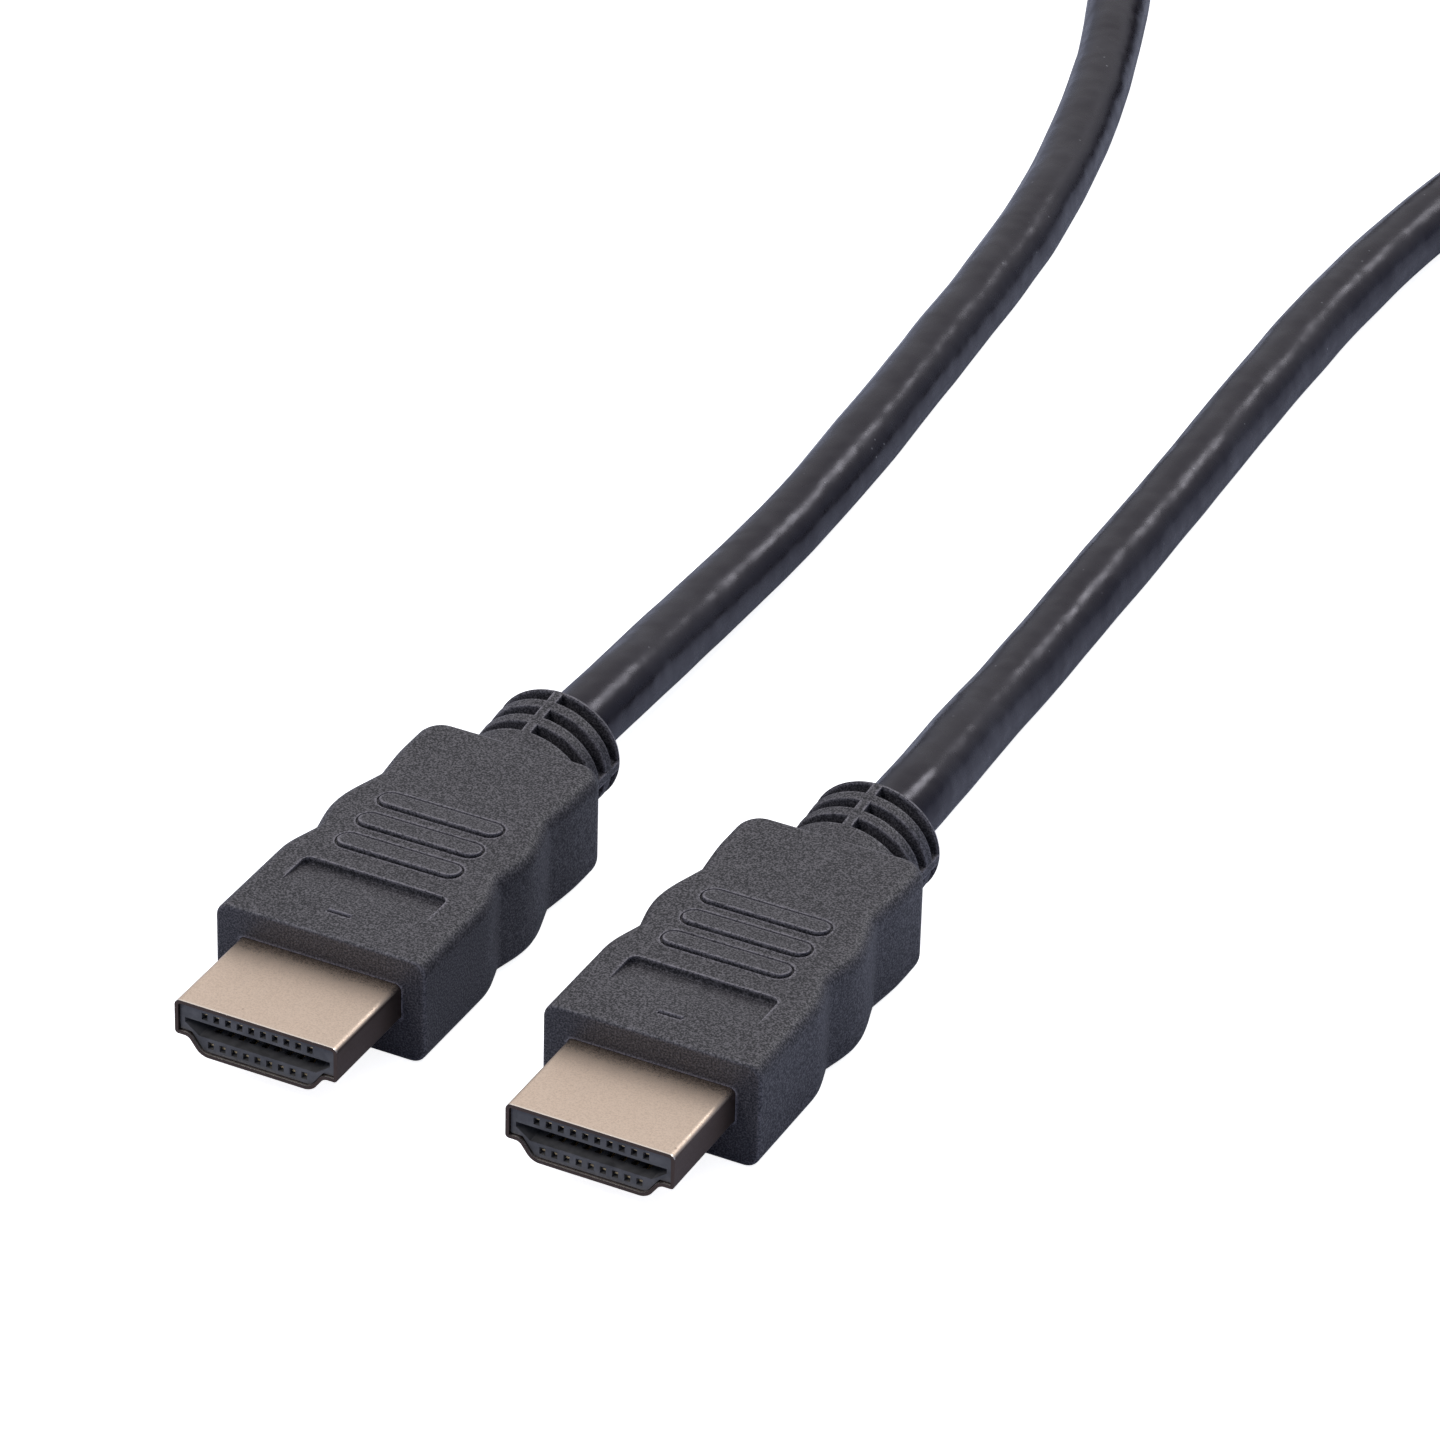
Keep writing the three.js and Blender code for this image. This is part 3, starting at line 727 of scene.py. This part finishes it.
def relief_radius(shape, distance):
    """Half the strain relief's height at a distance behind the body."""
    share = distance / (RELIEF_END - BODY_FRONT - shape.body_length)
    return (shape.relief_base + (shape.relief_end - shape.relief_base) * share) / 2


def relief_outline(shape, with_slots):
    """The strain relief's turned outline: distance behind the body and radius."""

    def radius(distance):
        return relief_radius(shape, distance)

    length = RELIEF_END - BODY_FRONT - shape.body_length
    lip = 0.16
    end_round = 0.5
    root = -1.8
    root_taper = 0.8
    points = [(root, 0.0), (root, radius(0) - root_taper), (0.0, radius(0))]
    for slot in range(shape.slot_count if with_slots else 0):
        start = shape.slot_at + shape.slot_pitch * slot - shape.slot_width / 2
        end = start + shape.slot_width
        points += [
            (start - lip, radius(start)),
            (start - lip * 0.3, radius(start) - lip * 0.3),
            (start, radius(start) - lip),
            (start, radius(start) - shape.slot_depth + lip),
            (start + lip, radius(start) - shape.slot_depth),
            (end - lip, radius(end) - shape.slot_depth),
            (end, radius(end) - shape.slot_depth + lip),
            (end, radius(end) - lip),
            (end + lip * 0.3, radius(end) - lip * 0.3),
            (end + lip, radius(end)),
        ]
    final = radius(length)
    for step in range(6):
        turn = math.pi / 2 * step / 5
        along = length - end_round + end_round * math.sin(turn)
        points.append((along, final - end_round + end_round * math.cos(turn)))
    points.append((length, 0.0))
    return points


def turn_relief(shape, with_slots):
    bm = bmesh.new()
    rear = BODY_FRONT + shape.body_length
    axis_z = shape.body_height / 2
    outline = relief_outline(shape, with_slots)
    verts = [bm.verts.new((0, rear + distance, axis_z + radius)) for distance, radius in outline]
    edges = [bm.edges.new(pair) for pair in zip(verts, verts[1:])]
    bmesh.ops.spin(
        bm, geom=verts + edges, cent=(0, rear, axis_z), axis=(0, 1, 0), dvec=(0, 0, 0),
        angle=math.tau, steps=96, use_merge=True, use_duplicate=False,
    )
    bmesh.ops.remove_doubles(bm, verts=bm.verts, dist=1e-4)
    for vert in bm.verts:
        radius = relief_radius(shape, vert.co.y - rear)
        vert.co.x *= shape.relief_width / 2 / radius
        vert.co.z += radius - relief_radius(shape, 0)
    return to_object("relief", bm)


def make_bridges(shape):
    rear = BODY_FRONT + shape.body_length
    axis_z = shape.body_height / 2 + (shape.relief_end - shape.relief_base) / 4
    half = shape.bridge_width / 2
    reach = shape.relief_base
    first = shape.slot_at - shape.slot_width
    last = shape.slot_at + shape.slot_pitch * (shape.slot_count - 1) + shape.slot_width
    bars = []
    for wide, high in ((half, reach), (reach, half)):
        outline = rectangle(wide, -high, high, 0)
        corners = [(x, rear + first, axis_z + z) for x, z, _ in outline]
        bars.append(to_object("bridge", prism(corners, (0, last - first, 0))))
    cross = combine(bars[0], [bars[1]], "UNION")
    return combine(turn_relief(shape, False), [cross], "INTERSECT")


def shell_corners(shape, grow):
    """The connector's outline in X and Z, grown outwards, with the radius of each corner."""
    side = SHELL_WIDTH / 2 + grow
    top = SHELL_AXIS + shape.shell_height / 2 + grow
    bottom = SHELL_AXIS - shape.shell_height / 2 - grow
    step_height = 1.425
    step = SHELL_AXIS - shape.shell_height / 2 + step_height - grow
    shoulder = 5.8 + grow * 0.5
    foot = 4.75 + grow * 0.5
    top_round, step_round, foot_round = 0.5, 0.3, 0.6
    half = [
        (side, top, top_round),
        (side, step, step_round),
        (shoulder, step, step_round),
        (foot, bottom, foot_round),
    ]
    return half + [(-x, z, radius) for x, z, radius in reversed(half)]


def shell_prism(shape, grow, start, end):
    outline = shell_corners(shape, grow)
    corners = [(x, start, z) for x, z, _ in outline]
    return prism(corners, (0, end - start, 0), [radius for _, _, radius in outline])


def make_socket_cutter(shape, cable):
    """The hole that the cable enters."""
    bm = bmesh.new()
    depth = 1.2
    gap = 0.1
    radius = cable.diameter / 2 + gap
    bmesh.ops.create_cone(
        bm, cap_ends=True, segments=64, radius1=radius, radius2=radius, depth=depth * 2,
    )
    bmesh.ops.rotate(bm, cent=(0, 0, 0), matrix=Matrix.Rotation(math.pi / 2, 3, "X"), verts=bm.verts)
    axis_z = shape.body_height / 2 + (shape.relief_end - shape.relief_base) / 2
    bmesh.ops.translate(bm, vec=(0, RELIEF_END, axis_z), verts=bm.verts)
    return to_object("socket cutter", bm)


def make_overmould(shape, cable):
    master = make_body(shape)
    top = shape.body_height
    cutters = [make_panel_cutter(shape)] + [make_moat(shape, rib) for rib in range(shape.rib_count)]
    dash = BODY_FRONT + shape.dash_at
    groove_width = 0.22
    groove = rectangle(1, dash - groove_width, dash, top - 0.2)
    cutters.append(to_object("groove", prism(groove, (0, 0, 1))))
    combine(master, cutters, "DIFFERENCE")
    bars = [
        make_ramp_bar(
            shape.rib_width, BODY_FRONT + shape.rib_at + shape.rib_pitch * rib, shape.rib_length,
            top, shape.rib_height, shape.rib_tail, top - 0.6, shape.rib_length * 0.48,
        )
        for rib in range(shape.rib_count)
    ]
    bars.append(make_ramp_bar(2.0, dash, 0.5, top, 0.15, 0.0, top - 0.3, 0.08))
    combine(master, bars, "UNION")
    relief = combine(turn_relief(shape, True), [make_bridges(shape)], "UNION")
    combine(master, [relief], "UNION")
    pocket_gap = 0.04
    pocket_depth = 3.05
    hollow = shell_prism(shape, pocket_gap, BODY_FRONT - 1, BODY_FRONT + pocket_depth)
    pocket = to_object("pocket cutter", hollow)
    combine(master, [pocket, make_socket_cutter(shape, cable)], "DIFFERENCE")
    smooth(master)
    return master


def make_shell(shape):
    """The folded sheet: an open tube with its wall inwards and its front rim eased."""
    end = SHELL_HIGH.y
    bm = shell_prism(shape, 0.0, NOSE, end)
    caps = [f for f in bm.faces if abs(f.normal.y) > 0.9]
    bmesh.ops.delete(bm, geom=caps, context="FACES")
    master = to_object("shell master", bm)
    wall = master.modifiers.new("Wall", "SOLIDIFY")
    wall.thickness = shape.shell_wall
    wall.offset = -1
    wall.use_even_offset = True
    rim = master.modifiers.new("Rim", "BEVEL")
    rim.width = 0.14
    rim.segments = 3
    rim.limit_method = "ANGLE"
    rim.angle_limit = math.radians(60)
    apply_modifiers(master)
    smooth(master)
    return master


# The cable


def coil_point(cable, turns):
    """A point of the coil's centreline: inwards on the floor, then outwards on the layer above."""
    d = cable.diameter
    spread = d * cable.coil_turns
    inner = (cable.coil_middle - spread) / 2
    past = abs(turns - cable.coil_turns)
    ease = 0.2
    climb_turns = 0.6
    tie_turn = 0.25
    tie_reach = 0.14
    if past < ease:
        past = past * past / (2 * ease) + ease / 2
    radius = inner + d * past
    angle = math.pi - math.tau * turns
    climb = min(1.0, max(0.0, (turns - cable.coil_turns + climb_turns / 2) / climb_turns))
    height = d * climb * climb * (3 - 2 * climb)
    from_tie = (turns - tie_turn + 0.5) % 1.0 - 0.5
    near = math.cos(math.pi * min(1.0, abs(from_tie) / tie_reach))
    lift = cable.tie_thickness * (1 + near) / 2
    return (
        (cable.coil_x + radius * math.cos(angle)) * MM,
        (cable.coil_y + radius * math.sin(angle)) * MM,
        ROUTE_A[-1][2] + (height + lift) * MM,
    )


def centreline(cable):
    per_turn = 24
    count = int(cable.coil_turns * 2 * per_turn)
    coil = [coil_point(cable, i / per_turn) for i in range(count + 1)]
    return ROUTE_A + coil + ROUTE_B[::-1]


def line_object(name, points):
    curve = bpy.data.curves.new(name, "CURVE")
    curve.dimensions = "3D"
    curve.resolution_u = 8
    curve.twist_mode = "MINIMUM"
    spline = curve.splines.new("BEZIER")
    spline.bezier_points.add(len(points) - 1)
    for knot, point in zip(spline.bezier_points, points):
        knot.co = point
        knot.handle_left_type = "AUTO"
        knot.handle_right_type = "AUTO"
    line = bpy.data.objects.new(name, curve)
    bpy.context.scene.collection.objects.link(line)
    return line


def to_mesh(line):
    bpy.context.view_layer.update()
    depsgraph = bpy.context.evaluated_depsgraph_get()
    return bpy.data.meshes.new_from_object(line.evaluated_get(depsgraph))


def make_cable(cable):
    """The whole jacket as one mesh tube, lumpy from the wires in it, and the line it follows."""
    line = line_object("cable line", centreline(cable))
    bare = to_mesh(line)
    path = [tuple(v.co) for v in bare.vertices]
    bpy.data.meshes.remove(bare)
    line.data.bevel_depth = cable.diameter / 2 * MM
    line.data.bevel_resolution = 5
    line.data.use_fill_caps = True
    mesh = to_mesh(line)
    mesh.name = "cable"
    curve = line.data
    bpy.data.objects.remove(line)
    bpy.data.curves.remove(curve)
    piece = bpy.data.objects.new("cable", mesh)
    bpy.context.scene.collection.objects.link(piece)
    clouds = bpy.data.textures.new("lumps", "CLOUDS")
    clouds.noise_scale = cable.lump_size * MM
    clouds.noise_depth = 1
    lumps = piece.modifiers.new("Lumps", "DISPLACE")
    lumps.texture = clouds
    lumps.texture_coords = "LOCAL"
    lumps.strength = cable.lumps * MM
    lumps.mid_level = 0.5
    apply_modifiers(piece)
    for face in piece.data.polygons:
        face.use_smooth = len(face.vertices) == 4
    return piece, path


def make_tie(cable):
    """A loop of tape round the turns, with its free end pressed down on top."""
    width = TIE_HIGH.x - TIE_LOW.x
    start = TIE_LOW.x
    loop_round = 1.8
    side_gap = 0.2
    flap_front = TIE_LOW.y + 2.2
    flap_rear = TIE_HIGH.y - 3.4
    corners = [(start, y, z) for y, z in (
        (TIE_LOW.y, 0), (TIE_HIGH.y, 0), (TIE_HIGH.y, TIE_HIGH.z), (TIE_LOW.y, TIE_HIGH.z),
    )]
    bm = prism(corners, (width, 0, 0), [loop_round] * 4)
    caps = [f for f in bm.faces if abs(f.normal.x) > 0.9]
    bmesh.ops.delete(bm, geom=caps, context="FACES")
    master = to_object("coil_tie_tape", bm)
    wall = master.modifiers.new("Tape", "SOLIDIFY")
    wall.thickness = cable.tie_thickness
    wall.offset = -1
    rim = master.modifiers.new("Rim", "BEVEL")
    rim.width = 0.16
    rim.segments = 2
    rim.limit_method = "ANGLE"
    rim.angle_limit = math.radians(60)
    apply_modifiers(master)
    thin = cable.tie_thickness * 0.9
    flap_z = TIE_HIGH.z - 0.1
    flap = [(x, y, flap_z) for x, y in (
        (start + side_gap, flap_front), (start + width - side_gap, flap_front),
        (start + width - side_gap, flap_rear), (start + side_gap, flap_rear),
    )]
    tongue = prism(flap, (0, 0, thin), [0.4, 0.4, 1.6, 1.6])
    soften(tongue, [e for e in tongue.edges if all(v.co.z > flap_z + 0.1 for v in e.verts)], 0.2)
    combine(master, [to_object("tongue", tongue)], "UNION")
    smooth(master, 40)
    master.data.transform(Matrix.Scale(MM, 4))
    return master


# Operators


class CABLE_OT_camera(bpy.types.Operator):
    """Set the camera at the photograph's viewing angle"""

    bl_idname = "video_cable.camera"
    bl_label = "Camera"

    def execute(self, context):
        studio = context.scene.cable_studio
        level = math.cos(studio.elevation)
        back = Vector((
            math.sin(studio.azimuth) * level,
            -math.cos(studio.azimuth) * level,
            math.sin(studio.elevation),
        ))
        camera = bpy.data.objects.new("camera", bpy.data.cameras.new("camera"))
        context.scene.collection.objects.link(camera)
        camera.location = Vector(studio.target) + back * studio.distance
        look = (-back).to_track_quat("-Z", "Y")
        camera.rotation_mode = "QUATERNION"
        camera.rotation_quaternion = look @ Quaternion((0, 0, 1), studio.roll)
        camera.data.sensor_width = 36.0
        camera.data.lens = camera.data.sensor_width * studio.focal_pixels / 1440
        camera.data.clip_start = 0.01
        context.scene.camera = camera
        return {"FINISHED"}


class CABLE_OT_jacket(bpy.types.Operator):
    """Lay the cable from plug to plug, with its spare length in the coil, and tie the coil"""

    bl_idname = "video_cable.jacket"
    bl_label = "Cable and tie"

    def execute(self, context):
        cable = context.scene.cable_shape
        finishes = context.scene.cable_finishes
        tie = make_tie(cable)
        dress(tie, tape_black(finishes))
        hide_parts("coil_tie")
        piece, path = make_cable(cable)
        dress(piece, jacket_black(finishes))
        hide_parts("cable_stretch_a", "cable_stretch_b", "cable_coil")
        return {"FINISHED"}


class CABLE_OT_overmoulds(bpy.types.Operator):
    """Model the moulded body and strain relief of both plugs"""

    bl_idname = "video_cable.overmoulds"
    bl_label = "Overmoulds"

    def execute(self, context):
        material = moulded_black(context.scene.cable_finishes)
        master = make_overmould(context.scene.cable_plug, context.scene.cable_shape)
        for letter in PLUGS:
            piece = placed_copy(f"plug_{letter}_grip", master, plug_x(letter))
            dress(piece, material)
            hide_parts(f"plug_{letter}_overmould")
        drop(master)
        return {"FINISHED"}


class CABLE_OT_shells(bpy.types.Operator):
    """Model the sheet metal nose of both plugs"""

    bl_idname = "video_cable.shells"
    bl_label = "Shells"

    def execute(self, context):
        material = champagne_plate(context.scene.cable_finishes)
        master = make_shell(context.scene.cable_plug)
        for letter in PLUGS:
            piece = placed_copy(f"plug_{letter}_nose", master, plug_x(letter))
            dress(piece, material)
            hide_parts(f"plug_{letter}_shell")
        drop(master)
        return {"FINISHED"}


class CABLE_OT_inner_parts(bpy.types.Operator):
    """Give the insulators and the contacts their materials"""

    bl_idname = "video_cable.inner_parts"
    bl_label = "Insulators and contacts"

    def execute(self, context):
        finishes = context.scene.cable_finishes
        plastic = insulator_black(finishes)
        gold = contact_gold(finishes)
        for name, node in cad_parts.items():
            if "_insulator" in name or "_contact_" in name:
                node.data.materials.clear()
                node.data.materials.append(plastic if "_insulator" in name else gold)
        return {"FINISHED"}


class CABLE_OT_studio(bpy.types.Operator):
    """Build the floor, the soft lights and the pale room"""

    bl_idname = "video_cable.studio"
    bl_label = "Studio"

    def execute(self, context):
        studio = context.scene.cable_studio
        context.scene.view_settings.view_transform = "Standard"
        self.add_floor()
        self.add_softbox("key light", KEY_PLACE, KEY_SIZE, studio.key_power)
        self.add_softbox("edge light", EDGE_PLACE, EDGE_SIZE, studio.edge_power)
        self.add_room(context, studio)
        return {"FINISHED"}

    def add_room(self, context, studio):
        """A room that is bright above and behind the object and darker in front."""
        world = bpy.data.worlds.new("room")
        world.use_nodes = True
        tree = world.node_tree
        sky = tree.nodes["Background"]
        place = tree.nodes.new("ShaderNodeTexCoord")
        towards = tree.nodes.new("ShaderNodeVectorMath")
        towards.operation = "DOT_PRODUCT"
        towards.inputs[1].default_value = BRIGHT_SIDE
        ramp = tree.nodes.new("ShaderNodeMapRange")
        ramp.interpolation_type = "SMOOTHSTEP"
        ramp.inputs["From Min"].default_value = 0.2
        ramp.inputs["From Max"].default_value = 0.92
        tone = tree.nodes.new("ShaderNodeMix")
        tone.data_type = "RGBA"
        tone.inputs[6].default_value = [c * studio.room_low for c in (0.75, 0.88, 1.24)] + [1.0]
        tone.inputs[7].default_value = [c * studio.room_high for c in (1.0, 0.99, 1.02)] + [1.0]
        tree.links.new(place.outputs["Generated"], towards.inputs[0])
        tree.links.new(towards.outputs["Value"], ramp.inputs["Value"])
        tree.links.new(ramp.outputs["Result"], tone.inputs["Factor"])
        tree.links.new(tone.outputs[2], sky.inputs["Color"])
        context.scene.world = world

    def add_floor(self):
        """A floor that the camera sees white and that throws little light back up."""
        bm = bmesh.new()
        bmesh.ops.create_grid(bm, x_segments=1, y_segments=1, size=6.0)
        floor = to_object("floor", bm)
        shader = Shader("pale floor")
        seen = shader.node("ShaderNodeLightPath").outputs["Is Camera Ray"]
        colour = shader.mix(seen, (0.62, 0.66, 0.8, 1.0), (0.95, 0.96, 0.98, 1.0))
        shader.link(shader.remap(seen, 0.0, 1.0, 0.0, 0.86), shader.surface.inputs["Emission Strength"])
        floor.data.materials.append(
            shader.finish(colour, Roughness=0.9, Emission_Color=(1.0, 1.0, 1.0, 1.0))
        )

    def add_softbox(self, name, place, size, power):
        lamp = bpy.data.lights.new(name, "AREA")
        lamp.shape = "SQUARE"
        lamp.size = size
        lamp.energy = power
        light = bpy.data.objects.new(name, lamp)
        light.location = place
        light.rotation_mode = "QUATERNION"
        light.rotation_quaternion = (-Vector(place)).to_track_quat("-Z", "Y")
        bpy.context.scene.collection.objects.link(light)


class CABLE_PT_panel(bpy.types.Panel):
    """Lists the steps that dress the cable"""

    bl_idname = "CABLE_PT_panel"
    bl_label = "Video cable"
    bl_space_type = "VIEW_3D"
    bl_region_type = "UI"
    bl_category = "Video cable"

    def draw(self, context):
        for step in STEPS:
            self.layout.operator(step.bl_idname)
        for group in (context.scene.cable_finishes, context.scene.cable_studio):
            for name in group.bl_rna.properties.keys()[2:]:
                self.layout.prop(group, name)


STEPS = (
    CABLE_OT_camera,
    CABLE_OT_jacket,
    CABLE_OT_overmoulds,
    CABLE_OT_shells,
    CABLE_OT_inner_parts,
    CABLE_OT_studio,
)
GROUPS = {
    "cable_plug": PlugShape,
    "cable_shape": CableShape,
    "cable_finishes": Finishes,
    "cable_studio": Studio,
}


def register():
    for group in GROUPS.values():
        bpy.utils.register_class(group)
    for name, group in GROUPS.items():
        setattr(bpy.types.Scene, name, PointerProperty(type=group))
    for step in (*STEPS, CABLE_PT_panel):
        bpy.utils.register_class(step)


def unregister():
    for step in (CABLE_PT_panel, *reversed(STEPS)):
        bpy.utils.unregister_class(step)
    for name in GROUPS:
        delattr(bpy.types.Scene, name)
    for group in reversed(GROUPS.values()):
        bpy.utils.unregister_class(group)


def main():
    register()
    bpy.ops.video_cable.camera()
    bpy.ops.video_cable.jacket()
    bpy.ops.video_cable.overmoulds()
    bpy.ops.video_cable.shells()
    bpy.ops.video_cable.inner_parts()
    bpy.ops.video_cable.studio()


if __name__ == "__main__":
    main()
